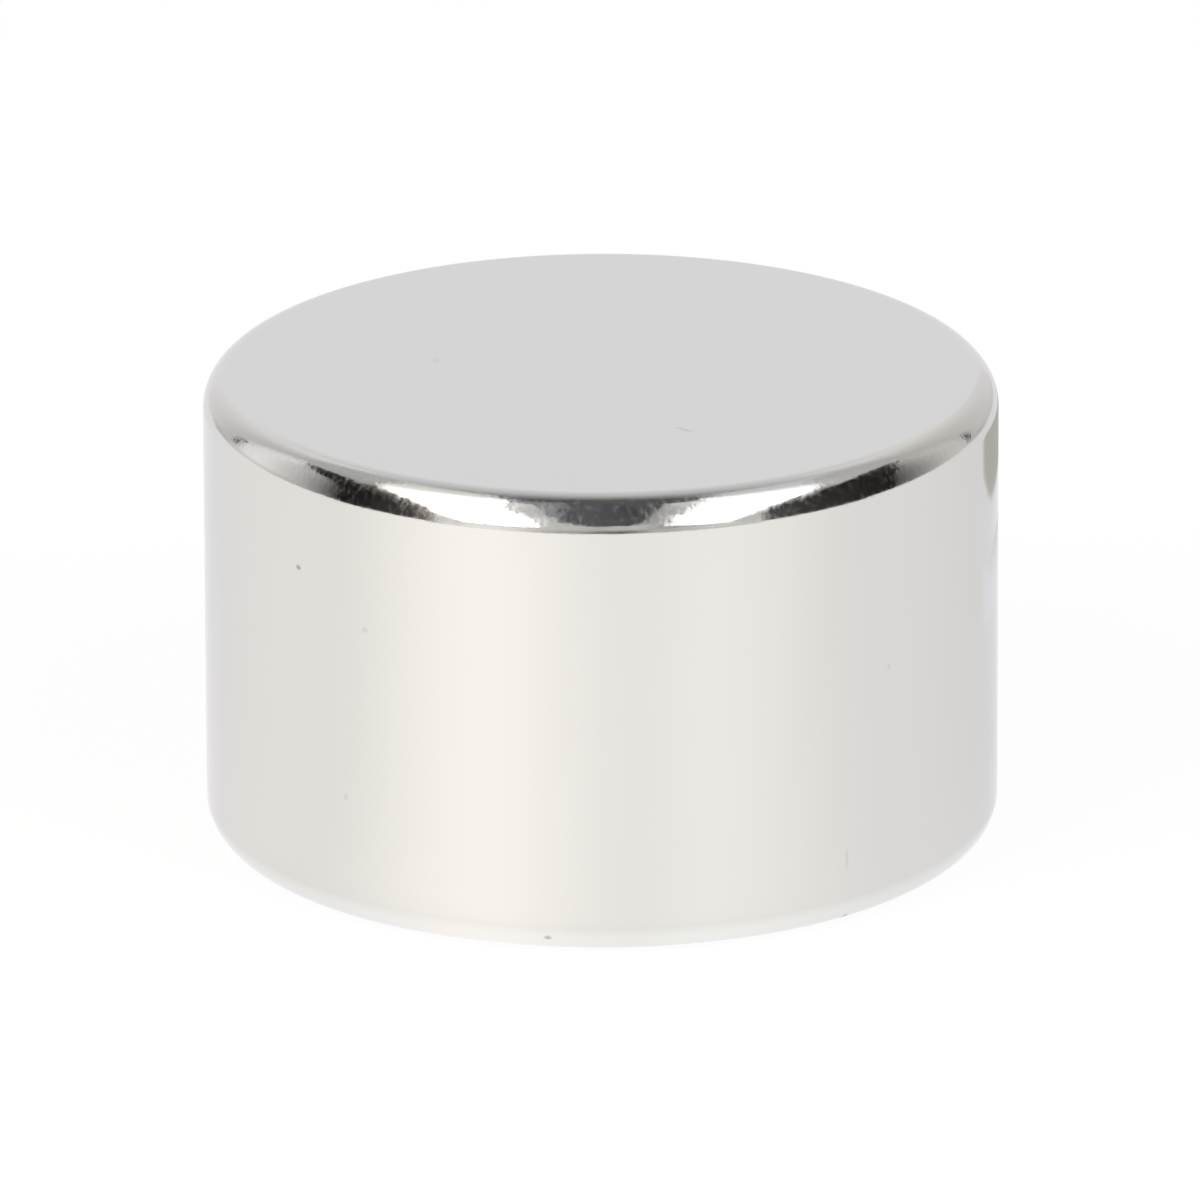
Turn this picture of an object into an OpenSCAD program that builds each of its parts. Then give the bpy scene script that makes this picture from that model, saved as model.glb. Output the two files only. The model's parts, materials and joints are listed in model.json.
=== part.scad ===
// Disc magnet: a sintered, ground and tumbled cylinder with a bright nickel plating.
//
// The magnet is one solid. Its two pole faces are ground flat and parallel, its side
// wall is ground round, and tumbling before the plating rounds both of its edges, so
// each edge is a quarter circle that meets the face and the wall without a step.
//
// The origin is the centre of the lower pole face, and +Z runs along the axis of the
// disc to the upper pole face. Every size is in millimetres.

/* [Disc] */
// Diameter over the ground side wall
disc_d = 25; // [8:0.5:60]
// Thickness from the lower pole face to the upper one
disc_h = 15; // [3:0.5:40]

/* [Edges] */
// Radius that tumbling leaves on both edges
edge_r = 1.1; // [0.2:0.05:1.4]

/* [Hidden] */

$fn = 240; // flat steps in a full turn when the curves are drawn

wall_r = disc_d / 2; // from the axis to the side wall
flat_r = wall_r - edge_r; // from the axis to where a pole face starts to round off
edge_low = edge_r; // height of the lower edge's centre
edge_high = disc_h - edge_r; // height of the upper edge's centre

plating_colour = [0.84, 0.84, 0.82]; // bright nickel in a pale room

// The material between the two flat pole faces.
module between_the_faces() {
    square([flat_r, disc_h]);
}

// The material behind the straight side wall, between the two rounded edges.
module behind_the_wall() {
    translate([0, edge_low])
        square([wall_r, edge_high - edge_low]);
}

// One rounded edge, with its centre at the given height.
module rounded_edge(height) {
    translate([flat_r, height])
        circle(r = edge_r);
}

// Half of the disc's section: X is the distance from the axis and Y the height.
module half_section() {
    between_the_faces();
    behind_the_wall();
    rounded_edge(edge_low);
    rounded_edge(edge_high);
}

// The whole magnet, turned from its half section.
module disc_magnet() {
    color(plating_colour)
        rotate_extrude()
            half_section();
}

disc_magnet();
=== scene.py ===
"""The looks of a disc magnet: a sintered cylinder, ground, tumbled and plated with bright nickel.

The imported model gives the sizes. One fine mesh stands for its solid, because the
bright plating mirrors its surroundings and shows every flat of a coarse mesh. The rest is
what such a mirror needs: a white table, two softboxes, and the dark and pale screens whose
reflections draw the rounded edge. Directions are sightlines from the middle of the magnet,
with azimuth 0 towards the camera and growing to its right.
"""

import json
import logging
import math
from dataclasses import dataclass
from enum import Enum

import bmesh
import bpy
from mathutils import Matrix, Vector


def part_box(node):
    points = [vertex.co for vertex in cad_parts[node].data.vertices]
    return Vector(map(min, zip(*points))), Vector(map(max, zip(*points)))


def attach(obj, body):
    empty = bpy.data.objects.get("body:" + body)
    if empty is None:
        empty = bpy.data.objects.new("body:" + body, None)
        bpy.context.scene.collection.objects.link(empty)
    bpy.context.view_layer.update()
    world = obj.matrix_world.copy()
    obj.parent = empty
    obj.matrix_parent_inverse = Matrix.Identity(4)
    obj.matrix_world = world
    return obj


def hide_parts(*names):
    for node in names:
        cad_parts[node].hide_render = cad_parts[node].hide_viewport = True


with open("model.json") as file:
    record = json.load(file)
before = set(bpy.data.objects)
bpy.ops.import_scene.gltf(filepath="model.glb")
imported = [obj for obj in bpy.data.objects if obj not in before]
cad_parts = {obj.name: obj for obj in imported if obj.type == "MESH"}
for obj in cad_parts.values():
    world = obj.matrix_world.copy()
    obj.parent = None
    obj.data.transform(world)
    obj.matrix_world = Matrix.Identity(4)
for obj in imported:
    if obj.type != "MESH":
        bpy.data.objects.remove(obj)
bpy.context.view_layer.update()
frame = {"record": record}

MM = 0.001
BODY = "root"
NODE = "disc_magnet"
WELD = 1e-7  # metres within which two corners of the mesh are one

# Sockets of the Mix node, which share their names
FACTOR, NUMBER_A, NUMBER_B, COLOUR_A, COLOUR_B = 0, 2, 3, 6, 7
MIXED_NUMBER, MIXED_COLOUR = 0, 2

log = logging.getLogger("disc_magnet")


class Rays(Enum):
    """Which of a stage piece's rays are kept, as Blender's own switches."""

    MIRRORED = ("glossy", "transmission")
    ALL = ("camera", "diffuse", "glossy", "transmission", "shadow")


@dataclass(frozen=True)
class Sightline:
    """A direction from the middle of the magnet, in degrees."""

    azimuth: float
    elevation: float

    def direction(self) -> Vector:
        """The unit vector along the sightline."""
        a, e = math.radians(self.azimuth), math.radians(self.elevation)
        return Vector((math.sin(a) * math.cos(e), -math.cos(a) * math.cos(e), math.sin(e)))


def linear(hex_colour: str) -> tuple[float, float, float, float]:
    """Turns an sRGB colour into Blender's linear one.

    Args:
        hex_colour: The colour as "#RRGGBB".

    Returns:
        Linear red, green and blue, and an alpha of 1.
    """
    channels = [int(hex_colour[i : i + 2], 16) / 255 for i in (1, 3, 5)]
    bent = [c / 12.92 if c <= 0.04045 else ((c + 0.055) / 1.055) ** 2.4 for c in channels]
    return (bent[0], bent[1], bent[2], 1.0)


def scaled(hex_colour: str, level: float) -> tuple[float, float, float]:
    """An sRGB colour's linear light at a level, without the alpha."""
    red, green, blue, _ = linear(hex_colour)
    return (red * level, green * level, blue * level)


def add_node(
    tree: bpy.types.NodeTree,
    kind: str,
    settings: dict[str, object] | None = None,
    inputs: dict[str | int, object] | None = None,
) -> bpy.types.Node:
    """Adds a node with its settings, and its inputs as values or as links.

    Args:
        tree: The node tree that gets the node.
        kind: The node's type name.
        settings: Properties of the node itself.
        inputs: Values for its sockets, or the output sockets to link to them.

    Returns:
        The new node.
    """
    node = tree.nodes.new(kind)
    for name, value in (settings or {}).items():
        setattr(node, name, value)
    for key, value in (inputs or {}).items():
        if isinstance(value, bpy.types.NodeSocket):
            tree.links.new(value, node.inputs[key])
        else:
            node.inputs[key].default_value = value
    return node


def add_object(name: str, mesh: bmesh.types.BMesh) -> bpy.types.Object:
    """Writes a bmesh to a new object at the origin and links it to the scene.

    Args:
        name: The object's name.
        mesh: The mesh to write, which is freed.

    Returns:
        The new object.
    """
    data = bpy.data.meshes.new(name)
    mesh.to_mesh(data)
    mesh.free()
    made = bpy.data.objects.new(name, data)
    bpy.context.scene.collection.objects.link(made)
    return made


def keep_rays(thing: bpy.types.Object, rays: Rays) -> None:
    """Lets only the given kinds of ray see an object."""
    for kind in Rays.ALL.value:
        setattr(thing, f"visible_{kind}", kind in rays.value)


@dataclass(frozen=True)
class Mark:
    """A pit, speck or hairline in the plating, in millimetres in the magnet's frame.

    Its depth is how far it turns the plating to the speck's colour, from 0 to 1. A program
    worked out the centres from the pixels where the photograph shows the marks.
    """

    centre: tuple[float, float, float]
    size: tuple[float, float, float]
    depth: float
    turn_deg: float = 0


@dataclass(frozen=True)
class BrightNickel:
    """Bright nickel plating, electroplated over a tumbled and ground block.

    To the eye it is a slightly warm grey mirror. The pole faces and the side wall keep the
    fine grinding under the plating as a faint haze. The tumbled edges are glossier, with
    small frosted patches, and rippled like orange peel, which frays what they mirror.
    """

    colour: str = "#D9D9D7"
    cloud_colour: str = "#D8D7D5"
    edge_tint: str = "#F3F3F7"
    face_roughness: float = 0.11
    edge_roughness: float = 0.05
    frosted_roughness: float = 0.21
    # The frosted patches, and the shares of their noise where they start and are full.
    frost_mm: float = 0.17
    frost_start: float = 0.35
    frost_full: float = 0.75
    ripple_mm: float = 0.22
    ripple_depth_mm: float = 0.0022
    # The haze's grain is some 0.01 mm and the grinding's lines are 0.02 mm apart. Both are
    # too fine to show, so they are drawn as coarse as it takes. The lines run round the
    # wall: along X and Y only this share of the place counts, which draws them out.
    haze_mm: float = 0.22
    haze_depth_mm: float = 0.0006
    grind_pitch_mm: float = 0.09
    grind_depth_mm: float = 0.00012
    grind_share_round: float = 0.12
    # The colour drifts in faint clouds, and the edge's finish blends into the face's.
    cloud_mm: float = 4.0
    blend_mm: float = 0.5
    speck_colour: str = "#55534E"
    # How far from its middle a mark starts and is full, in half sizes.
    mark_start: float = 1.2
    mark_full: float = 0.3
    marks: tuple[Mark, ...] = (
        # Pits: high on the left of the wall, and two on the lower edge.
        Mark((-9.41, -8.23, 11.4), (0.27, 0.27, 0.2), 0.5),
        Mark((-1.7, -12.25, 0.6), (0.28, 0.28, 0.2), 0.45),
        Mark((7.53, -9.43, 0.24), (0.3, 0.3, 0.3), 0.7),
        # Faint specks on the wall.
        Mark((-7.35, -10.12, 10), (0.28, 0.28, 0.22), 0.13),
        Mark((-7.98, -9.63, 4.32), (0.22, 0.22, 0.28), 0.12),
        Mark((8.93, -8.74, 8.24), (0.16, 0.16, 0.22), 0.1),
        # Hairlines: upright on the wall, slanting on the upper face, and a faint short one.
        Mark((7.62, -9.92, 2.3), (0.13, 0.13, 0.85), 0.12),
        Mark((2.61, -5.67, 15), (0.9, 0.24, 0.3), 0.18, turn_deg=-42),
        Mark((-5.16, 1.08, 15), (0.28, 0.6, 0.3), 0.08),
    )

    def material(self, magnet: "DiscMagnet") -> bpy.types.Material:
        """Builds the plating.

        Args:
            magnet: The magnet, whose sizes place the tumbled edges.

        Returns:
            The material, on Object coordinates.
        """
        made = bpy.data.materials.new("bright_nickel_plating")
        made.use_nodes = True
        tree = made.node_tree
        tree.nodes.clear()
        place = add_node(tree, "ShaderNodeTexCoord").outputs["Object"]
        in_mm = add_node(
            tree, "ShaderNodeVectorMath", {"operation": "SCALE"}, {0: place, "Scale": 1 / MM}
        ).outputs["Vector"]
        edge = self.edge_share(tree, in_mm, magnet)
        marks = self.mark_share(tree, in_mm)
        cloud = add_node(
            tree,
            "ShaderNodeTexNoise",
            inputs={"Vector": in_mm, "Scale": 1 / self.cloud_mm, "Detail": 2.0},
        ).outputs["Fac"]
        plating = add_node(
            tree,
            "ShaderNodeMix",
            {"data_type": "RGBA"},
            {
                FACTOR: cloud,
                COLOUR_A: linear(self.colour),
                COLOUR_B: linear(self.cloud_colour),
            },
        ).outputs[MIXED_COLOUR]
        colour = add_node(
            tree,
            "ShaderNodeMix",
            {"data_type": "RGBA"},
            {FACTOR: marks, COLOUR_A: plating, COLOUR_B: linear(self.speck_colour)},
        ).outputs[MIXED_COLOUR]
        frost = add_node(
            tree,
            "ShaderNodeTexNoise",
            inputs={"Vector": in_mm, "Scale": 1 / self.frost_mm, "Detail": 2.0},
        ).outputs["Fac"]
        tumbled = add_node(
            tree,
            "ShaderNodeMapRange",
            inputs={
                "Value": frost,
                "From Min": self.frost_start,
                "From Max": self.frost_full,
                "To Min": self.edge_roughness,
                "To Max": self.frosted_roughness,
            },
        ).outputs["Result"]
        roughness = add_node(
            tree,
            "ShaderNodeMapRange",
            inputs={"Value": edge, "To Min": self.face_roughness, "To Max": tumbled},
        ).outputs["Result"]
        shader = add_node(
            tree,
            "ShaderNodeBsdfPrincipled",
            inputs={
                "Base Color": colour,
                "Metallic": 1.0,
                "Roughness": roughness,
                "Specular Tint": linear(self.edge_tint),
                "Normal": self.relief(tree, in_mm, edge),
            },
        )
        add_node(
            tree, "ShaderNodeOutputMaterial", inputs={"Surface": shader.outputs["BSDF"]}
        )
        return made

    def edge_share(
        self, tree: bpy.types.NodeTree, in_mm: bpy.types.NodeSocket, magnet: "DiscMagnet"
    ) -> bpy.types.NodeSocket:
        """Where the surface is tumbled, from 0 on the ground faces to 1 on the edges.

        Args:
            tree: The material's node tree.
            in_mm: The place on the magnet, in millimetres.
            magnet: The magnet, whose sizes place the edges.

        Returns:
            The socket that holds the share.
        """
        parts = add_node(tree, "ShaderNodeSeparateXYZ", inputs={0: in_mm}).outputs
        flat = add_node(
            tree, "ShaderNodeVectorMath", {"operation": "MULTIPLY"}, {0: in_mm, 1: (1, 1, 0)}
        ).outputs["Vector"]
        radius = add_node(
            tree, "ShaderNodeVectorMath", {"operation": "LENGTH"}, {0: flat}
        ).outputs["Value"]
        flat_r = (magnet.radius - magnet.edge_radius) / MM
        straight = (magnet.thickness / 2 - magnet.edge_radius) / MM
        middle = magnet.thickness / 2 / MM
        off_middle = add_node(
            tree, "ShaderNodeMath", {"operation": "SUBTRACT"}, {0: parts["Z"], 1: middle}
        ).outputs[0]
        up = add_node(tree, "ShaderNodeMath", {"operation": "ABSOLUTE"}, {0: off_middle}).outputs[0]
        past_face = add_node(
            tree,
            "ShaderNodeMapRange",
            {"interpolation_type": "SMOOTHSTEP"},
            {
                "Value": radius,
                "From Min": flat_r - self.blend_mm / 2,
                "From Max": flat_r + self.blend_mm / 2,
            },
        ).outputs["Result"]
        past_wall = add_node(
            tree,
            "ShaderNodeMapRange",
            {"interpolation_type": "SMOOTHSTEP"},
            {
                "Value": up,
                "From Min": straight - self.blend_mm / 2,
                "From Max": straight + self.blend_mm / 2,
            },
        ).outputs["Result"]
        return add_node(
            tree, "ShaderNodeMath", {"operation": "MULTIPLY"}, {0: past_face, 1: past_wall}
        ).outputs[0]

    def mark_share(
        self, tree: bpy.types.NodeTree, in_mm: bpy.types.NodeSocket
    ) -> bpy.types.NodeSocket:
        """How far the pits, specks and hairlines darken the plating, from 0 to 1.

        Args:
            tree: The material's node tree.
            in_mm: The place on the magnet, in millimetres.

        Returns:
            The socket that holds the share.
        """
        total = None
        for mark in self.marks:
            near = add_node(
                tree,
                "ShaderNodeMapping",
                {"vector_type": "TEXTURE"},
                {
                    "Vector": in_mm,
                    "Location": mark.centre,
                    "Rotation": (0, 0, math.radians(mark.turn_deg)),
                    "Scale": tuple(s / 2 for s in mark.size),
                },
            ).outputs[0]
            away = add_node(
                tree, "ShaderNodeVectorMath", {"operation": "LENGTH"}, {0: near}
            ).outputs["Value"]
            inside = add_node(
                tree,
                "ShaderNodeMapRange",
                {"interpolation_type": "SMOOTHSTEP"},
                {
                    "Value": away,
                    "From Min": self.mark_start,
                    "From Max": self.mark_full,
                    "To Max": mark.depth,
                },
            ).outputs["Result"]
            if total is not None:
                inside = add_node(
                    tree, "ShaderNodeMath", {"operation": "MAXIMUM"}, {0: total, 1: inside}
                ).outputs[0]
            total = inside
        return total

    def relief(
        self, tree: bpy.types.NodeTree, in_mm: bpy.types.NodeSocket, edge: bpy.types.NodeSocket
    ) -> bpy.types.NodeSocket:
        """The ripples of the tumbled edges and the grinding of the faces, as a normal.

        Args:
            tree: The material's node tree.
            in_mm: The place on the magnet, in millimetres.
            edge: The share of the tumbled edge.

        Returns:
            The socket that holds the normal.
        """
        ripple = add_node(
            tree,
            "ShaderNodeTexNoise",
            inputs={"Vector": in_mm, "Scale": 1 / self.ripple_mm, "Detail": 2.0},
        ).outputs["Fac"]
        haze = add_node(
            tree,
            "ShaderNodeTexNoise",
            inputs={"Vector": in_mm, "Scale": 1 / self.haze_mm, "Detail": 1.0},
        ).outputs["Fac"]
        drawn_out = add_node(
            tree,
            "ShaderNodeVectorMath",
            {"operation": "MULTIPLY"},
            {0: in_mm, 1: (self.grind_share_round, self.grind_share_round, 1)},
        ).outputs["Vector"]
        grind = add_node(
            tree,
            "ShaderNodeTexNoise",
            inputs={"Vector": drawn_out, "Scale": 1 / self.grind_pitch_mm, "Detail": 1.0},
        ).outputs["Fac"]
        depth_mm = add_node(
            tree,
            "ShaderNodeMapRange",
            inputs={"Value": edge, "To Max": self.ripple_depth_mm},
        ).outputs["Result"]
        height = add_node(
            tree, "ShaderNodeMath", {"operation": "MULTIPLY"}, {0: ripple, 1: depth_mm}
        ).outputs[0]
        for pattern, depth in ((haze, self.haze_depth_mm), (grind, self.grind_depth_mm)):
            height = add_node(
                tree,
                "ShaderNodeMath",
                {"operation": "MULTIPLY_ADD"},
                {0: pattern, 1: depth, 2: height},
            ).outputs[0]
        return add_node(
            tree,
            "ShaderNodeBump",
            inputs={"Height": height, "Distance": MM, "Strength": 1.0},
        ).outputs["Normal"]


@dataclass(frozen=True)
class DiscMagnet:
    """The magnet: a cylinder with flat pole faces and quarter-round edges, in metres."""

    radius: float
    thickness: float
    edge_radius: float
    steps_round: int = 384
    steps_edge: int = 18
    face_rings: int = 5

    @classmethod
    def from_frame(cls, record: dict) -> "DiscMagnet":
        """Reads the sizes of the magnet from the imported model.

        Args:
            record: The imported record, whose side wall mount gives the straight wall.

        Returns:
            The magnet at its real size.
        """
        low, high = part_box(NODE)
        wall = next(m for m in record["mounts"] if m["name"] == "side_wall")
        thickness = high[2] - low[2]
        straight = wall["dims"]["length_mm"] * MM
        return cls(wall["dims"]["r_mm"] * MM, thickness, (thickness - straight) / 2)

    @property
    def middle(self) -> Vector:
        """The middle of the magnet."""
        return Vector((0, 0, self.thickness / 2))

    def build(self) -> bpy.types.Object:
        """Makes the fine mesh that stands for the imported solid.

        Returns:
            The piece, at its place in the frame.
        """
        mesh = bmesh.new()
        bmesh.ops.create_cone(
            mesh,
            cap_ends=True,
            segments=self.steps_round,
            radius1=self.radius,
            radius2=self.radius,
            depth=self.thickness,
            matrix=Matrix.Translation((0, 0, self.thickness / 2)),
        )
        rims = [e for e in mesh.edges if abs(e.verts[0].co.z - e.verts[1].co.z) < WELD]
        bmesh.ops.bevel(
            mesh,
            geom=rims,
            offset=self.edge_radius,
            offset_type="OFFSET",
            segments=self.steps_edge,
            profile=0.5,
            affect="EDGES",
            material=-1,
        )
        self.ring_the_faces(mesh)
        bmesh.ops.remove_doubles(mesh, verts=mesh.verts, dist=WELD)
        bmesh.ops.recalc_face_normals(mesh, faces=mesh.faces)
        for face in mesh.faces:
            face.smooth = True
        made = add_object("plated_disc", mesh)
        even = made.modifiers.new("true_normals", "WEIGHTED_NORMAL")
        even.mode = "FACE_AREA"
        even.weight = 100  # the widest faces set the normals, so flat stays flat
        even.keep_sharp = False
        return made

    def ring_the_faces(self, mesh: bmesh.types.BMesh) -> None:
        """Divides both pole faces into rings, so that no sliver crosses them.

        Args:
            mesh: The magnet's mesh, whose pole faces are still one polygon each.
        """
        step = (self.radius - self.edge_radius) / (self.face_rings + 1)
        for _ in range(self.face_rings):
            caps = [f for f in mesh.faces if len(f.verts) == self.steps_round]
            bmesh.ops.inset_individual(mesh, faces=caps, thickness=step, use_even_offset=True)
        caps = [f for f in mesh.faces if len(f.verts) == self.steps_round]
        bmesh.ops.poke(mesh, faces=caps)

    def dress(self, piece: bpy.types.Object, finish: BrightNickel) -> None:
        """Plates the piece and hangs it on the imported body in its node's place.

        Args:
            piece: The magnet's mesh.
            finish: Its plating.
        """
        piece.data.materials.append(finish.material(self))
        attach(piece, BODY)
        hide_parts(NODE)


@dataclass(frozen=True)
class Station:
    """One upright edge of a screen: where it stands, how far up it goes and how bright it is.

    The azimuth and the low and high elevations are sightlines in degrees. The level is the
    one at its foot. Where its head differs, it turns to the head's mostly near the top.
    """

    azimuth: float
    low: float
    high: float
    level: float
    head: float | None = None

    def level_at(self, rise: float) -> float:
        """The level at a share of the way up, from 0 at the foot to 1 at the head."""
        head = self.level if self.head is None else self.head
        return self.level + (head - self.level) * rise**3


@dataclass(frozen=True)
class Screen:
    """A sheet beside the magnet that only its reflections see.

    The sheet runs from station to station, at a distance in metres from the middle of the
    magnet, and its level fades evenly between them. A level of 1 mirrors as the white
    background does. Each sheet is a painted reflection: a glow that is no lamp, whose levels
    paint the light and shade on what it stands for as well as its own tone.

    The stations were typed in from tables of the photograph's brightness over the sightlines,
    which programs had printed, and were changed until the render agreed. So their levels
    follow the photograph's. Their azimuths, and the elevations of all but the nearest sheets,
    were rounded to half degrees later.
    """

    name: str
    distance: float
    colour: str
    stations: tuple[Station, ...]
    rows: int = 8

    def build(self, magnet: DiscMagnet) -> bpy.types.Object:
        """Bends a grid into the sheet, with a column of the grid at each station.

        Args:
            magnet: The magnet, whose middle the sightlines start from.

        Returns:
            The sheet, which only mirrored rays see.
        """
        columns = len(self.stations) - 1
        mesh = bmesh.new()
        bmesh.ops.create_grid(mesh, x_segments=columns, y_segments=self.rows, size=0.5)
        level = mesh.verts.layers.float.new("level")
        for corner in mesh.verts:
            station = self.stations[round((corner.co.x + 0.5) * columns)]
            rise = corner.co.y + 0.5
            elevation = station.low + rise * (station.high - station.low)
            sight = Sightline(station.azimuth, elevation).direction()
            corner.co = magnet.middle + sight * self.distance
            corner[level] = station.level_at(rise)
        made = add_object(self.name, mesh)
        made.data.materials.append(self.material())
        keep_rays(made, Rays.MIRRORED)
        return made

    def material(self) -> bpy.types.Material:
        """The sheet's even glow, at the level that its stations hold.

        Returns:
            The material, which lights nothing and is only mirrored.
        """
        made = bpy.data.materials.new(f"{self.name}_glow")
        made.use_nodes = True
        tree = made.node_tree
        tree.nodes.clear()
        level = add_node(tree, "ShaderNodeAttribute", {"attribute_name": "level"}).outputs["Fac"]
        glow = add_node(
            tree, "ShaderNodeEmission", inputs={"Color": linear(self.colour), "Strength": level}
        )
        add_node(tree, "ShaderNodeOutputMaterial", inputs={"Surface": glow.outputs[0]})
        made.cycles.emission_sampling = "NONE"
        return made


@dataclass(frozen=True)
class Softbox:
    """A square lamp that lights the scene but isn't mirrored: its screen is."""

    name: str
    sight: Sightline
    distance: float
    side: float
    power: float
    colour: str

    def build(self, magnet: DiscMagnet) -> bpy.types.Object:
        """Hangs the lamp and turns it to the magnet.

        Args:
            magnet: The magnet, whose middle the sightline starts from.

        Returns:
            The lamp.
        """
        lamp = bpy.data.lights.new(self.name, "AREA")
        lamp.shape = "SQUARE"
        lamp.size = self.side
        lamp.energy = self.power
        lamp.color = scaled(self.colour, 1.0)
        made = bpy.data.objects.new(self.name, lamp)
        away = self.sight.direction()
        made.location = magnet.middle + away * self.distance
        made.rotation_euler = away.to_track_quat("Z", "Y").to_euler()
        made.visible_camera = made.visible_glossy = made.visible_transmission = False
        bpy.context.scene.collection.objects.link(made)
        return made


@dataclass(frozen=True)
class Pool:
    """A pool of light on the table, or of shade, which fades to both sides of an azimuth.

    The azimuth and the spread to each side are in degrees. The gain is what it adds to the
    table's level at its middle. The table's first three are a program's fit.
    """

    azimuth: float
    spread: float
    gain: float
    colour: str


@dataclass(frozen=True)
class Table:
    """The round sheet of white card that the magnet stands on.

    The camera sees it as plain white, with a little of the magnet's shadow left in it. The
    plating sees it as the white background too, with a warm pool of light in front of each
    softbox. Those pools are the broad soft bands on the side wall. They spread out from half
    a radius in front of the axis, where the round wall seems to gather its reflections, so
    the bands stand upright, and they are weaker close to the wall. Cool light that the wall
    throws back brightens the table at its foot. The sheet reaches further back than forwards.

    A program fitted the first three pools, where they spread out from, and the mirrored level
    and colour to the brightness of the photographed side wall. The fit's angles were rounded
    to whole degrees. The fourth pool is given apart from the fit.
    """

    radius: float = 130 * MM
    middle_y: float = 50 * MM
    thickness: float = 2 * MM
    steps_round: int = 96
    colour: str = "#F2F2F0"
    camera_glow: float = 1.02
    shadow_share: float = 0.1
    mirrored_level: float = 1.003
    mirrored_colour: str = "#FFFEFC"
    pools: tuple[Pool, ...] = (
        Pool(-33, 52, 0.354, "#FFECE1"),
        Pool(31, 53, 0.188, "#FFF8ED"),
        Pool(-92, 65, 0.082, "#FFE6CB"),
        Pool(135, 50, -0.06, "#FFFFFF"),
    )
    # A pool's share at the magnet's foot, and how far out it is full.
    pool_start: float = 0.7
    pool_reach: float = 4 * MM
    # The light thrown back, at the magnet's foot, and how far out it ends.
    thrown_back: float = 0.125
    thrown_colour: str = "#EAF8FF"
    thrown_reach: float = 1.2 * MM

    def build(self, magnet: DiscMagnet) -> bpy.types.Object:
        """Makes the sheet, with its upper side at the magnet's lower pole face.

        Args:
            magnet: The magnet, whose radius places the light around it.

        Returns:
            The sheet.
        """
        mesh = bmesh.new()
        bmesh.ops.create_cone(
            mesh,
            cap_ends=True,
            segments=self.steps_round,
            radius1=self.radius,
            radius2=self.radius,
            depth=self.thickness,
            matrix=Matrix.Translation((0, self.middle_y, -self.thickness / 2)),
        )
        made = add_object("table", mesh)
        made.data.materials.append(self.material(magnet))
        return made

    def material(self, magnet: DiscMagnet) -> bpy.types.Material:
        """Matt white card, which glows for the camera's rays and for mirrored ones.

        Args:
            magnet: The magnet, whose radius places the light around it.

        Returns:
            The material.
        """
        made = bpy.data.materials.new("white_card")
        made.use_nodes = True
        tree = made.node_tree
        tree.nodes.clear()
        camera, mirrored = seen_by(tree)
        colour = add_node(
            tree,
            "ShaderNodeMix",
            {"data_type": "RGBA", "clamp_result": False},
            {
                FACTOR: camera,
                COLOUR_A: self.pooled(tree, magnet),
                COLOUR_B: (self.camera_glow,) * 3 + (1.0,),
            },
        ).outputs[MIXED_COLOUR]
        share = add_node(
            tree,
            "ShaderNodeMath",
            {"operation": "MULTIPLY_ADD"},
            {0: camera, 1: 1 - self.shadow_share, 2: mirrored},
        ).outputs[0]
        matt = add_node(tree, "ShaderNodeBsdfDiffuse", inputs={"Color": linear(self.colour)})
        glow = add_node(tree, "ShaderNodeEmission", inputs={"Color": colour})
        surface = add_node(
            tree, "ShaderNodeMixShader", inputs={0: share, 1: matt.outputs[0], 2: glow.outputs[0]}
        ).outputs[0]
        add_node(tree, "ShaderNodeOutputMaterial", inputs={"Surface": surface})
        made.cycles.emission_sampling = "NONE"
        return made

    def pooled(self, tree: bpy.types.NodeTree, magnet: DiscMagnet) -> bpy.types.NodeSocket:
        """The table's light as the plating mirrors it, pools and all.

        Args:
            tree: The material's node tree.
            magnet: The magnet, whose radius places the light around it.

        Returns:
            The socket that holds the light's colour.
        """
        place = add_node(tree, "ShaderNodeTexCoord").outputs["Object"]
        from_axis = add_node(
            tree, "ShaderNodeVectorMath", {"operation": "LENGTH"}, {0: place}
        ).outputs["Value"]
        foot = magnet.radius
        thrown = add_node(
            tree,
            "ShaderNodeMapRange",
            inputs={"Value": from_axis, "From Min": foot + self.thrown_reach, "From Max": foot},
        ).outputs["Result"]
        fullness = add_node(
            tree,
            "ShaderNodeMapRange",
            inputs={
                "Value": from_axis,
                "From Min": foot,
                "From Max": foot + self.pool_reach,
                "To Min": self.pool_start,
            },
        ).outputs["Result"]
        parts = add_node(tree, "ShaderNodeSeparateXYZ", inputs={0: place}).outputs
        ahead = add_node(
            tree, "ShaderNodeMath", {"operation": "SUBTRACT"}, {0: -magnet.radius / 2, 1: parts["Y"]}
        ).outputs[0]
        azimuth = add_node(
            tree, "ShaderNodeMath", {"operation": "ARCTAN2"}, {0: parts["X"], 1: ahead}
        ).outputs[0]
        total = add_node(
            tree,
            "ShaderNodeVectorMath",
            {"operation": "MULTIPLY_ADD"},
            {
                0: thrown,
                1: scaled(self.thrown_colour, self.thrown_back),
                2: scaled(self.mirrored_colour, self.mirrored_level),
            },
        ).outputs["Vector"]
        for pool in self.pools:
            off = add_node(
                tree,
                "ShaderNodeMath",
                {"operation": "SUBTRACT"},
                {0: azimuth, 1: math.radians(pool.azimuth)},
            ).outputs[0]
            apart = add_node(tree, "ShaderNodeMath", {"operation": "ABSOLUTE"}, {0: off}).outputs[0]
            share = add_node(
                tree,
                "ShaderNodeMapRange",
                {"interpolation_type": "SMOOTHSTEP"},
                {
                    "Value": apart,
                    "From Min": math.radians(pool.spread),
                    "From Max": 0.0,
                    "To Max": fullness,
                },
            ).outputs["Result"]
            total = add_node(
                tree,
                "ShaderNodeVectorMath",
                {"operation": "MULTIPLY_ADD"},
                {0: share, 1: scaled(pool.colour, pool.gain), 2: total},
            ).outputs["Vector"]
        return total


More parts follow.
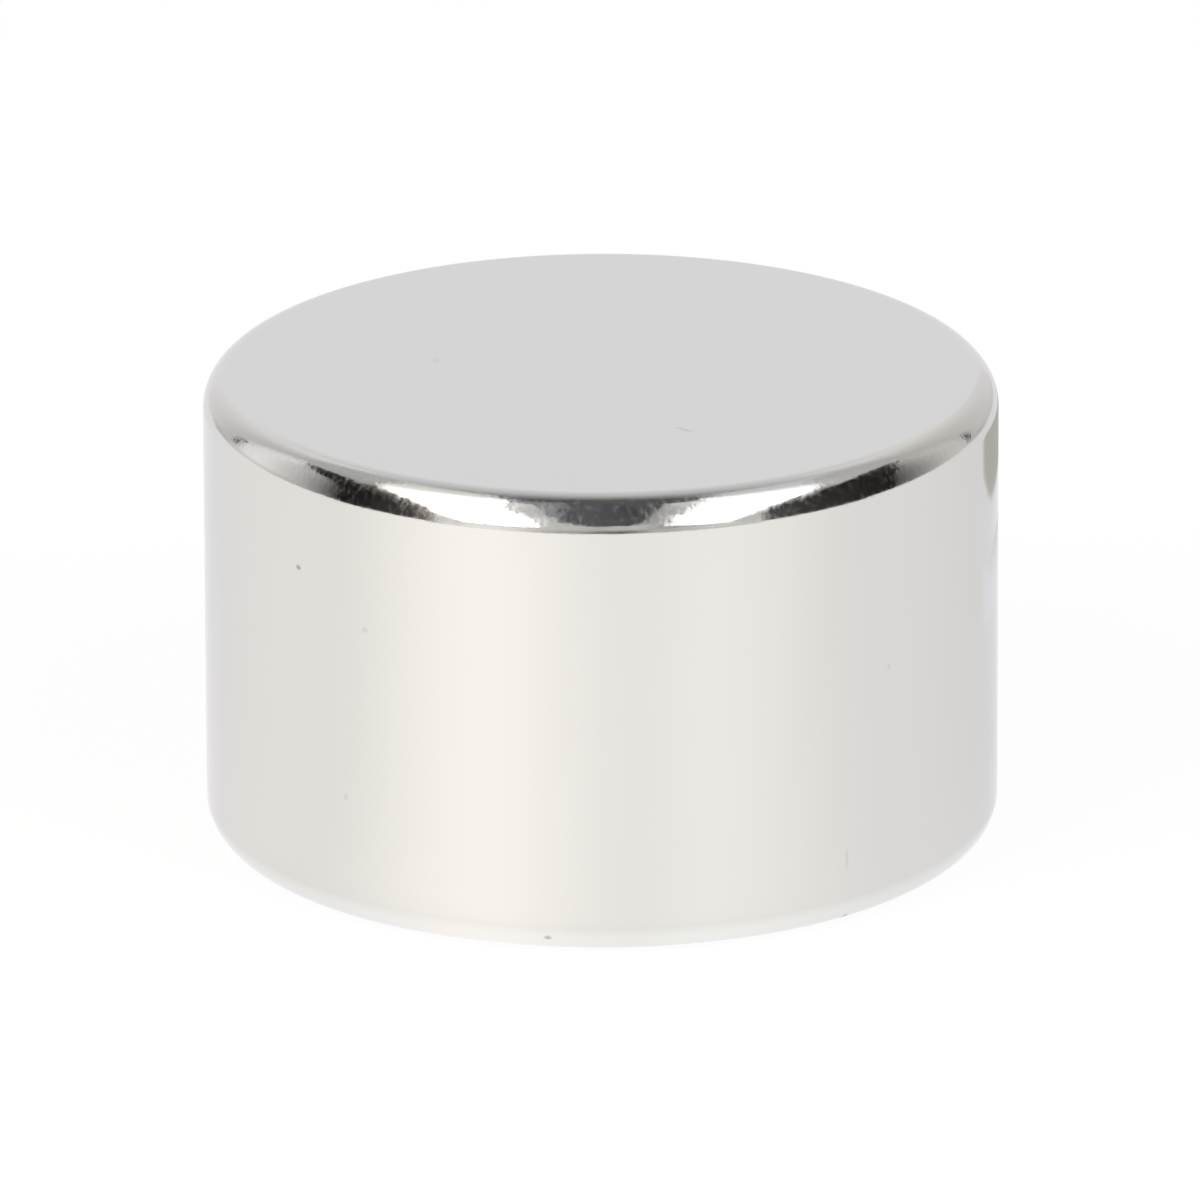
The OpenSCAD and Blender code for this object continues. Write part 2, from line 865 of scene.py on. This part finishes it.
@dataclass(frozen=True)
class Room:
    """What lies past the table: white to the camera, and dimmer towards the ceiling when mirrored.

    The fill is the strength that lights the matt surfaces. The heights are pairs of an
    elevation in degrees and the level that is mirrored there, read off the photograph's
    reflections.
    """

    fill: float = 0.5
    heights: tuple[tuple[float, float], ...] = (
        (-12, 1.05),
        (-2, 0.97),
        (28, 0.97),
        (45, 0.77),
        (57, 0.63),
        (69, 0.33),
        (77, 0.13),
        (90, 0.12),
    )

    def build(self) -> bpy.types.World:
        """Makes the world and sets it on the scene.

        Returns:
            The world.
        """
        made = bpy.data.worlds.new("room")
        made.use_nodes = True
        tree = made.node_tree
        tree.nodes.clear()
        camera, mirrored = seen_by(tree)
        way = add_node(tree, "ShaderNodeTexCoord").outputs["Generated"]
        rise = add_node(tree, "ShaderNodeSeparateXYZ", inputs={0: way}).outputs["Z"]
        angle = add_node(tree, "ShaderNodeMath", {"operation": "ARCSINE"}, {0: rise}).outputs[0]
        ramp = add_node(
            tree,
            "ShaderNodeMapRange",
            inputs={"Value": angle, "From Min": math.radians(-90), "From Max": math.radians(90)},
        ).outputs["Result"]
        fade = add_node(tree, "ShaderNodeValToRGB", inputs={"Fac": ramp})
        stops = fade.color_ramp.elements
        while len(stops) < len(self.heights):
            stops.new(0.5)
        for stop, (elevation, level) in zip(stops, self.heights):
            stop.position = (elevation + 90) / 180
            stop.color = (level, level, level, 1)
        plain = add_node(
            tree, "ShaderNodeMapRange", inputs={"Value": camera, "To Min": self.fill}
        ).outputs["Result"]
        strength = add_node(
            tree,
            "ShaderNodeMix",
            {"data_type": "FLOAT"},
            {FACTOR: mirrored, NUMBER_A: plain, NUMBER_B: fade.outputs["Color"]},
        ).outputs[MIXED_NUMBER]
        glow = add_node(
            tree, "ShaderNodeBackground", inputs={"Color": (1, 1, 1, 1), "Strength": strength}
        )
        add_node(tree, "ShaderNodeOutputWorld", inputs={"Surface": glow.outputs[0]})
        made.cycles.sampling_method = "NONE"
        bpy.context.scene.world = made
        return made


def seen_by(tree: bpy.types.NodeTree) -> tuple[bpy.types.NodeSocket, bpy.types.NodeSocket]:
    """Tells the camera's own rays, and those mirrored or passed on to it, from the lighting's.

    Args:
        tree: The node tree that asks.

    Returns:
        The sockets that are 1 for a camera ray, and for a mirrored or transmitted one.
    """
    path = add_node(tree, "ShaderNodeLightPath").outputs
    mirrored = add_node(
        tree,
        "ShaderNodeMath",
        {"operation": "MAXIMUM"},
        {0: path["Is Glossy Ray"], 1: path["Is Transmission Ray"]},
    ).outputs[0]
    return path["Is Camera Ray"], mirrored


@dataclass(frozen=True)
class PhotoCamera:
    """The photograph's camera: a long lens, looking down from close to 20 degrees.

    The aim and the roll set the magnet where the photograph has it. A program fitted them, the
    lens, the distance and the elevation to the magnet's outline.
    """

    lens_mm: float = 601.9
    sensor_mm: float = 36.0
    distance: float = 632.5 * MM
    elevation_deg: float = 19.53
    aim_right: float = -0.044 * MM
    aim_up: float = -0.123 * MM
    roll_deg: float = 0.206
    nearest: float = 10 * MM

    def build(self, magnet: DiscMagnet) -> bpy.types.Object:
        """Sets up the camera and makes it the scene's.

        Args:
            magnet: The magnet, whose middle the camera is placed and aimed from.

        Returns:
            The camera.
        """
        lens = bpy.data.cameras.new("camera")
        lens.lens = self.lens_mm
        lens.sensor_width = self.sensor_mm
        lens.clip_start = self.nearest
        made = bpy.data.objects.new("camera", lens)
        back = Sightline(0, self.elevation_deg).direction()
        right = Vector((1, 0, 0))
        up = back.cross(right)
        stand = magnet.middle + back * self.distance
        aim = magnet.middle + right * self.aim_right + up * self.aim_up
        look = (stand - aim).to_track_quat("Z", "Y").to_matrix()
        roll = Matrix.Rotation(-math.radians(self.roll_deg), 3, "Z")
        made.matrix_world = Matrix.Translation(stand) @ (look @ roll).to_4x4()
        bpy.context.scene.collection.objects.link(made)
        bpy.context.scene.camera = made
        return made


SOFTBOX_LEFT = 2.8  # levels of the two softboxes' screens
SOFTBOX_RIGHT = 2.3
FOOT = -14  # elevation of a far screen's foot, which the table hides

SCREENS = (
    # Grey cloth behind the left softbox, seen round its inner side and its foot.
    Screen(
        "grey_cloth_left",
        1.1,
        "#FFFDFA",
        (
            Station(-72, FOOT, 77, 0.8),
            Station(-62, FOOT, 77, 0.8),
            Station(-52, FOOT, 77, 0.9),
            Station(-42, FOOT, 77, 0.85),
            Station(-34, FOOT, 77, 0.76),
            Station(-26, FOOT, 77, 0.74),
            Station(-18, FOOT, 77, 0.76),
            Station(-14, FOOT, 60, 0.72),
            Station(-11, FOOT, 40, 0.6),
        ),
    ),
    # Grey cloth behind the right softbox.
    Screen(
        "grey_cloth_right",
        1.1,
        "#FFFDFA",
        (
            Station(11, FOOT, 40, 0.6),
            Station(15, FOOT, 60, 0.5),
            Station(20, FOOT, 77, 0.48),
            Station(27, FOOT, 77, 0.56),
            Station(34, FOOT, 77, 0.62),
            Station(42, FOOT, 77, 0.7),
            Station(52, FOOT, 77, 0.8),
            Station(62, FOOT, 77, 0.7),
            Station(72, FOOT, 77, 0.7),
        ),
    ),
    # The left softbox, which leans back over the magnet and dims towards its far end.
    Screen(
        "softbox_screen_left",
        0.95,
        "#FFFDF9",
        (
            Station(-17.5, 5.5, 10, SOFTBOX_LEFT),
            Station(-19.5, 4.5, 20, SOFTBOX_LEFT),
            Station(-21.5, 3.5, 30, SOFTBOX_LEFT),
            Station(-25, 2.5, 38, SOFTBOX_LEFT),
            Station(-29.5, 2, 45, SOFTBOX_LEFT),
            Station(-33, 2, 49.5, SOFTBOX_LEFT),
            Station(-36, 2, 52.5, SOFTBOX_LEFT),
            Station(-39, 2, 56, SOFTBOX_LEFT),
            Station(-42, 8, 60, SOFTBOX_LEFT),
            Station(-45.5, 13, 63.5, SOFTBOX_LEFT),
            Station(-50.5, 20, 66.5, SOFTBOX_LEFT),
            Station(-60, 34.5, 70.5, SOFTBOX_LEFT),
            Station(-66, 39, 73, SOFTBOX_LEFT),
            Station(-72, 42, 74.5, SOFTBOX_LEFT),
            Station(-78, 44.5, 75.5, SOFTBOX_LEFT),
            Station(-84, 48.5, 76, 2.5),
            Station(-90, 51.5, 76.5, 2.2),
            Station(-105, 55, 77, 1.22),
            Station(-112, 56, 76.5, 1.08),
            Station(-120, 58, 75.5, 0.97),
            Station(-134, 59, 73, 0.88),
            Station(-147, 57, 70, 0.74),
        ),
    ),
    # The right softbox, a little further off and cooler.
    Screen(
        "softbox_screen_right",
        0.95,
        "#FDFDFF",
        (
            Station(19, 7, 10, SOFTBOX_RIGHT),
            Station(21, 7, 20, SOFTBOX_RIGHT),
            Station(22, 6.5, 30, SOFTBOX_RIGHT),
            Station(24, 5.5, 36, SOFTBOX_RIGHT),
            Station(27, 4, 41.5, SOFTBOX_RIGHT),
            Station(30, 2.5, 45, SOFTBOX_RIGHT),
            Station(33, 2, 50, SOFTBOX_RIGHT),
            Station(36, 2, 55.5, SOFTBOX_RIGHT),
            Station(41, 12, 60, SOFTBOX_RIGHT),
            Station(46, 22, 64, SOFTBOX_RIGHT),
            Station(52, 29, 66.5, SOFTBOX_RIGHT),
            Station(60, 36, 69.5, SOFTBOX_RIGHT),
            Station(66, 40, 71, SOFTBOX_RIGHT),
            Station(72, 42, 72.5, SOFTBOX_RIGHT),
            Station(78, 46, 73.5, 2.3),
            Station(84, 48, 74.5, 2.0),
            Station(90, 51.5, 75.5, 1.8),
            Station(100, 53, 75.5, 1.32),
            Station(106, 54, 75.5, 1.06),
            Station(112, 55.5, 75, 0.88),
            Station(120, 56, 74, 0.77),
            Station(134, 56, 72, 0.77),
            Station(146, 55, 69.5, 0.66),
        ),
    ),
    # The dim wall above the left flag.
    Screen(
        "shoulder_left",
        0.91,
        "#FFFFFD",
        (
            Station(-92, 44, 51, 0.25),
            Station(-97, 46, 52.5, 0.42),
            Station(-104, 47, 55, 0.48),
            Station(-112, 44, 57, 0.48),
            Station(-120, 43, 59, 0.52),
            Station(-130, 41, 60, 0.54),
            Station(-140, 40, 59, 0.53),
            Station(-146, 40, 57, 0.58),
            Station(-153, 40, 54, 0.7),
        ),
    ),
    # The dim wall above the right flag, and the soft edge between the flag and the softbox.
    Screen(
        "shoulder_right",
        0.91,
        "#FFFEFD",
        (
            Station(51, 22, 28.5, 0.26),
            Station(58, 28, 34.5, 0.32),
            Station(64, 32, 39.5, 0.32),
            Station(70, 35, 41.5, 0.3),
            Station(76, 38, 44.5, 0.26),
            Station(82, 41, 46.5, 0.3),
            Station(88, 41, 50, 0.42),
            Station(94, 42, 52.5, 0.65),
            Station(100, 42, 55, 0.62),
            Station(106, 42, 57.5, 0.6),
            Station(112, 42, 59, 0.58),
            Station(120, 41, 60, 0.58),
            Station(134, 39, 58, 0.55),
            Station(145, 39, 54, 0.62),
            Station(153, 39, 50, 0.75),
        ),
    ),
    # The soft edge of the dark ceiling, where it nears the left softbox.
    Screen(
        "valance_left",
        0.92,
        "#F8FAFF",
        (
            Station(-10, 19, 28, 0.22),
            Station(-12, 22, 46, 0.26),
            Station(-13.5, 30, 50, 0.3),
            Station(-15, 37, 54, 0.32),
            Station(-18, 42, 66, 0.33),
            Station(-21, 50, 72, 0.36),
            Station(-24, 57, 76, 0.37),
            Station(-27, 61.5, 78, 0.35),
            Station(-30, 65, 80, 0.34),
            Station(-36, 70, 82, 0.33),
            Station(-48, 74, 84, 0.31),
            Station(-65, 76, 85, 0.32),
            Station(-90, 77, 84.5, 0.25),
            Station(-110, 78, 84, 0.2),
        ),
    ),
    # The dark ceiling, which comes down between the softboxes over the camera.
    Screen(
        "ceiling",
        0.89,
        "#F6F8FF",
        (
            Station(-134, 80, 90, 0.12),
            Station(-110, 84, 90, 0.12),
            Station(-88, 84.5, 90, 0.12),
            Station(-65, 85, 90, 0.12),
            Station(-48, 82.5, 90, 0.12),
            Station(-36, 80, 90, 0.12),
            Station(-27, 76, 90, 0.12),
            Station(-24, 72, 90, 0.12),
            Station(-21, 68, 90, 0.13),
            Station(-18, 61, 90, 0.14),
            Station(-15, 51, 90, 0.14),
            Station(-12, 43, 90, 0.13),
            Station(-10, 25, 90, 0.13),
            Station(-8, 17.5, 90, 0.13),
            Station(-5.5, 13.5, 90, 0.13),
            Station(-3, 11.5, 90, 0.13),
            Station(0, 11, 90, 0.12),
            Station(3, 12, 90, 0.11),
            Station(6, 12, 90, 0.11),
            Station(9, 14, 90, 0.1),
            Station(11, 17, 90, 0.09),
            Station(12.5, 21, 90, 0.08),
            Station(14, 32, 90, 0.08),
            Station(16, 43, 90, 0.09),
            Station(18, 50, 90, 0.11),
            Station(21, 56, 90, 0.12),
            Station(23.5, 59.5, 90, 0.12),
            Station(26, 63, 90, 0.12),
            Station(30, 66.5, 90, 0.12),
            Station(34, 70, 90, 0.12),
            Station(42, 73.5, 90, 0.12),
            Station(60, 78, 90, 0.12),
            Station(88, 79, 90, 0.12),
            Station(110, 79, 90, 0.12),
            Station(134, 77, 90, 0.12),
        ),
    ),
    # The grey of the camera and its stand, below the ceiling.
    Screen(
        "camera_stand",
        0.93,
        "#FFFEFC",
        (
            Station(-12, FOOT, 23, 0.7),
            Station(-8, FOOT, 20, 0.69),
            Station(-4, FOOT, 16, 0.65),
            Station(0, FOOT, 15, 0.57),
            Station(3, FOOT, 15, 0.67),
            Station(6, FOOT, 15, 0.62),
            Station(9, FOOT, 18, 0.7),
            Station(12.5, FOOT, 23, 0.64),
        ),
    ),
    # The left black flag.
    Screen(
        "black_flag_left",
        0.86,
        "#FFFAF4",
        (
            Station(-51, FOOT, -2, 0.13),
            Station(-52.5, FOOT, 2, 0.09),
            Station(-55, FOOT, 8, 0.07),
            Station(-58, FOOT, 16, 0.06),
            Station(-64, FOOT, 27, 0.035),
            Station(-70, FOOT, 29, 0.025),
            Station(-76, FOOT, 33, 0.015),
            Station(-82, FOOT, 36, 0.015),
            Station(-88, FOOT, 41, 0.015),
            Station(-94, FOOT, 44, 0.02),
            Station(-100, FOOT, 47, 0.02),
            Station(-106, FOOT, 47.5, 0.025),
            Station(-112, FOOT, 46.5, 0.05),
            Station(-118, FOOT, 44.5, 0.1),
            Station(-122, FOOT, 42.5, 0.2),
        ),
    ),
    # The brown edge of the left flag, thin enough to glow.
    Screen(
        "fringe_left",
        0.88,
        "#FBEDE2",
        (
            Station(-46.5, FOOT, 9, 0.95, 1.0),
            Station(-48, FOOT, 15, 0.55, 0.7),
            Station(-50, FOOT, 20, 0.22, 0.6),
            Station(-52, FOOT, 26, 0.11, 0.55),
            Station(-55, 4, 30, 0.07, 0.5),
            Station(-58, 12, 33.5, 0.07, 0.45),
            Station(-64, 24, 39.5, 0.05, 0.45),
            Station(-70, 27, 43, 0.04, 0.45),
            Station(-76, 31, 46, 0.03, 0.4),
            Station(-82, 34, 48, 0.03, 0.3),
            Station(-88, 39, 51, 0.03, 0.35),
            Station(-94, 41, 52, 0.03, 0.4),
        ),
    ),
    # The right black flag.
    Screen(
        "black_flag_right",
        0.86,
        "#FFFAF7",
        (
            Station(46.5, FOOT, 14, 0.14),
            Station(49, FOOT, 20, 0.09),
            Station(52, FOOT, 26.5, 0.07),
            Station(58, FOOT, 30.5, 0.055),
            Station(64, FOOT, 34, 0.045),
            Station(70, FOOT, 36.5, 0.035),
            Station(76, FOOT, 40, 0.03),
            Station(82, FOOT, 43, 0.025),
            Station(88, FOOT, 43.5, 0.02),
            Station(94, FOOT, 44.5, 0.02),
            Station(100, FOOT, 45, 0.025),
            Station(106, FOOT, 45, 0.035),
            Station(112, FOOT, 44.5, 0.07),
            Station(119, FOOT, 43, 0.14),
        ),
    ),
    # The pale panel beyond the left flag, which runs on round the back.
    Screen(
        "pale_panel_left",
        0.8,
        "#FFFCFB",
        (
            Station(-80, FOOT, 14, 0.1, 0.03),
            Station(-82, FOOT, 19, 0.16, 0.05),
            Station(-85, FOOT, 25, 0.25, 0.11),
            Station(-88, FOOT, 29, 0.38, 0.16),
            Station(-91, FOOT, 31.5, 0.49, 0.24),
            Station(-94, FOOT, 33.5, 0.6, 0.3),
            Station(-100, FOOT, 35, 0.77, 0.48),
            Station(-106, FOOT, 37, 0.93, 0.58),
            Station(-112, FOOT, 39, 1.06, 0.7),
            Station(-118, FOOT, 40.5, 1.06, 0.95),
            Station(-124, FOOT, 42, 1.0, 0.85),
            Station(-129, FOOT, 43, 0.68, 0.6),
            Station(-136, FOOT, 44, 0.74, 0.66),
            Station(-143, FOOT, 46, 0.84, 0.76),
            Station(-150, FOOT, 48, 0.89),
            Station(-158, FOOT, 50, 0.96),
        ),
    ),
    # The pale panel beyond the right flag.
    Screen(
        "pale_panel_right",
        0.8,
        "#FFFBF8",
        (
            Station(91.5, FOOT, 12, 0.12, 0.06),
            Station(94, FOOT, 18.5, 0.15, 0.08),
            Station(97, FOOT, 23, 0.21, 0.15),
            Station(100, FOOT, 26.5, 0.29, 0.19),
            Station(103, FOOT, 29, 0.36, 0.26),
            Station(106, FOOT, 32, 0.44, 0.3),
            Station(109, FOOT, 34.5, 0.53, 0.4),
            Station(112, FOOT, 37, 0.61, 0.46),
            Station(118, FOOT, 39.5, 0.74, 0.6),
            Station(124, FOOT, 41.5, 0.77, 0.57),
            Station(129, FOOT, 42.5, 0.66, 0.56),
            Station(134, FOOT, 43, 0.72, 0.64),
            Station(141, FOOT, 45, 0.75, 0.7),
            Station(148, FOOT, 47, 0.8),
            Station(155, FOOT, 48, 0.87),
            Station(163, FOOT, 50, 0.93),
        ),
    ),
    # The stand at the far end of the left panel.
    Screen(
        "stand_left",
        0.78,
        "#FFFFFF",
        (
            Station(-129, 1, 19, 0.12),
            Station(-126, 1, 17, 0.12),
        ),
    ),
    # The stand at the far end of the right panel.
    Screen(
        "stand_right",
        0.78,
        "#FFFFFF",
        (
            Station(127.5, -2, 10, 0.12),
            Station(129, -2, 14, 0.12),
            Station(131, 4, 18, 0.12),
        ),
    ),
    # The foot of the left flag, on the table.
    Screen(
        "flag_foot_left",
        0.09,
        "#FFFAF4",
        (
            Station(-49, FOOT, -1, 0.18, 0.13),
            Station(-54, FOOT, -1, 0.1, 0.08),
            Station(-60, FOOT, -1, 0.06),
            Station(-68, FOOT, -1, 0.05),
            Station(-75, FOOT, -1, 0.04),
        ),
    ),
    # The foot of the right flag, on the table.
    Screen(
        "flag_foot_right",
        0.09,
        "#FFFAF7",
        (
            Station(47.5, FOOT, -1, 0.18, 0.14),
            Station(54, FOOT, -1, 0.11),
            Station(62, FOOT, -1, 0.08),
            Station(70, FOOT, -1, 0.08, 0.05),
            Station(76, FOOT, -1, 0.08, 0.05),
        ),
    ),
    # A low card across the front of the table, as painted reflection: its level paints the light on
    # it, above white in front of the left softbox and dimming to darkest under the camera.
    Screen(
        "front_card_light_and_shade",
        0.07,
        "#FFFEFC",
        (
            Station(-46, -6.1, 4, 0.3, 0.3),
            Station(-44, -6.1, 4, 0.65, 0.5),
            Station(-41, -6.1, 4, 1.05, 0.95),
            Station(-38, -6.1, 4, 0.95, 0.85),
            Station(-33, -6.1, 4, 1.08, 1.15),
            Station(-27, -6.1, 4, 1.08, 1.15),
            Station(-22, -6.1, 4, 0.94, 1.05),
            Station(-16, -6.1, 4, 0.7, 0.8),
            Station(-11, -6.1, 4, 0.52, 0.66),
            Station(-5.5, -6.1, 4, 0.46, 0.62),
            Station(0, -6.1, 4, 0.22, 0.5),
            Station(5.5, -6.1, 4, 0.12, 0.5),
            Station(11, -6.1, 4, 0.38, 0.5),
            Station(13.5, -6.1, 4, 0.64, 0.55),
            Station(16.5, -6.1, 4, 0.57, 0.56),
            Station(22, -6.1, 4, 0.66, 0.7),
            Station(27, -6.1, 4, 0.73, 0.9),
            Station(33, -6.1, 4, 0.75, 1.1),
            Station(38, -6.1, 4, 0.77, 0.68),
            Station(41.5, -6.1, 4, 0.85, 0.8),
            Station(42.5, -6.1, 4, 0.6, 0.5),
        ),
    ),
    # The dim foot of the left panel, past the far side of the table.
    Screen(
        "panel_foot_left",
        0.14,
        "#FFFEFC",
        (
            Station(-91, FOOT, 3, 0.52, 0.56),
            Station(-98, FOOT, 3, 0.64, 0.69),
            Station(-104, FOOT, 3, 0.72, 0.84),
            Station(-110, FOOT, 3, 0.77, 0.95),
            Station(-117, FOOT, 3, 0.78, 0.95),
            Station(-122, FOOT, 3, 0.78, 0.8),
            Station(-127, FOOT, 3, 0.66, 0.68),
            Station(-133, FOOT, 3, 0.5, 0.68),
            Station(-141, FOOT, 3, 0.72, 0.8),
        ),
    ),
    # The dim foot of the right panel.
    Screen(
        "panel_foot_right",
        0.14,
        "#FFFEFC",
        (
            Station(127, FOOT, 3, 0.62, 0.66),
            Station(133, FOOT, 3, 0.5, 0.66),
            Station(139, FOOT, 3, 0.66, 0.74),
            Station(148, FOOT, 3, 0.72, 0.8),
            Station(158, FOOT, 3, 0.78, 0.9),
        ),
    ),
    # A low grey-green card on the table, behind and to the right.
    Screen(
        "card_behind",
        0.0385,
        "#FFFEF1",
        (
            Station(129, -9.3, -4.6, 0.54),
            Station(131, -9.7, -4.6, 0.55),
            Station(133.5, -10.5, -4.6, 0.55),
            Station(137.5, -11.2, -4.6, 0.55),
            Station(150, -11.2, -4.6, 0.52),
            Station(158, -11.2, -4.6, 0.54),
            Station(168, -11.2, -4.6, 0.9),
        ),
    ),
    # A low strip for the soft shade on the table before that card.
    Screen(
        "card_shade",
        0.028,
        "#FFFFFF",
        (
            Station(122, -15.3, -11.3, 1.0),
            Station(132, -15.3, -11.3, 0.97, 0.85),
            Station(140, -15.3, -11, 0.95, 0.7),
            Station(148, -15.3, -11, 0.97, 0.72),
            Station(160, -15.3, -11, 1.0, 0.85),
            Station(174, -15.3, -11, 1.0),
        ),
    ),
)


def main() -> None:
    """Builds the camera, the magnet and its studio in order."""
    logging.basicConfig(level=logging.INFO, format="%(message)s")
    bpy.context.scene.view_settings.view_transform = "Standard"
    magnet = DiscMagnet.from_frame(frame["record"])
    PhotoCamera().build(magnet)
    piece = magnet.build()
    magnet.dress(piece, BrightNickel())
    log.info("%s: %d faces", piece.name, len(piece.data.polygons))
    log.info("%s: under the magnet", Table().build(magnet).name)
    log.info("%s: around it", Room().build().name)
    lamps = (
        Softbox("softbox_left", Sightline(-45, 40), 0.7, 0.35, 2.3, "#FFFBF4"),
        Softbox("softbox_right", Sightline(42, 40), 0.7, 0.35, 1.9, "#FDFDFF"),
    )
    for lamp in lamps:
        log.info("%s: lit", lamp.build(magnet).name)
    for screen in SCREENS:
        log.info("%s: hung", screen.build(magnet).name)


if __name__ == "__main__":
    main()
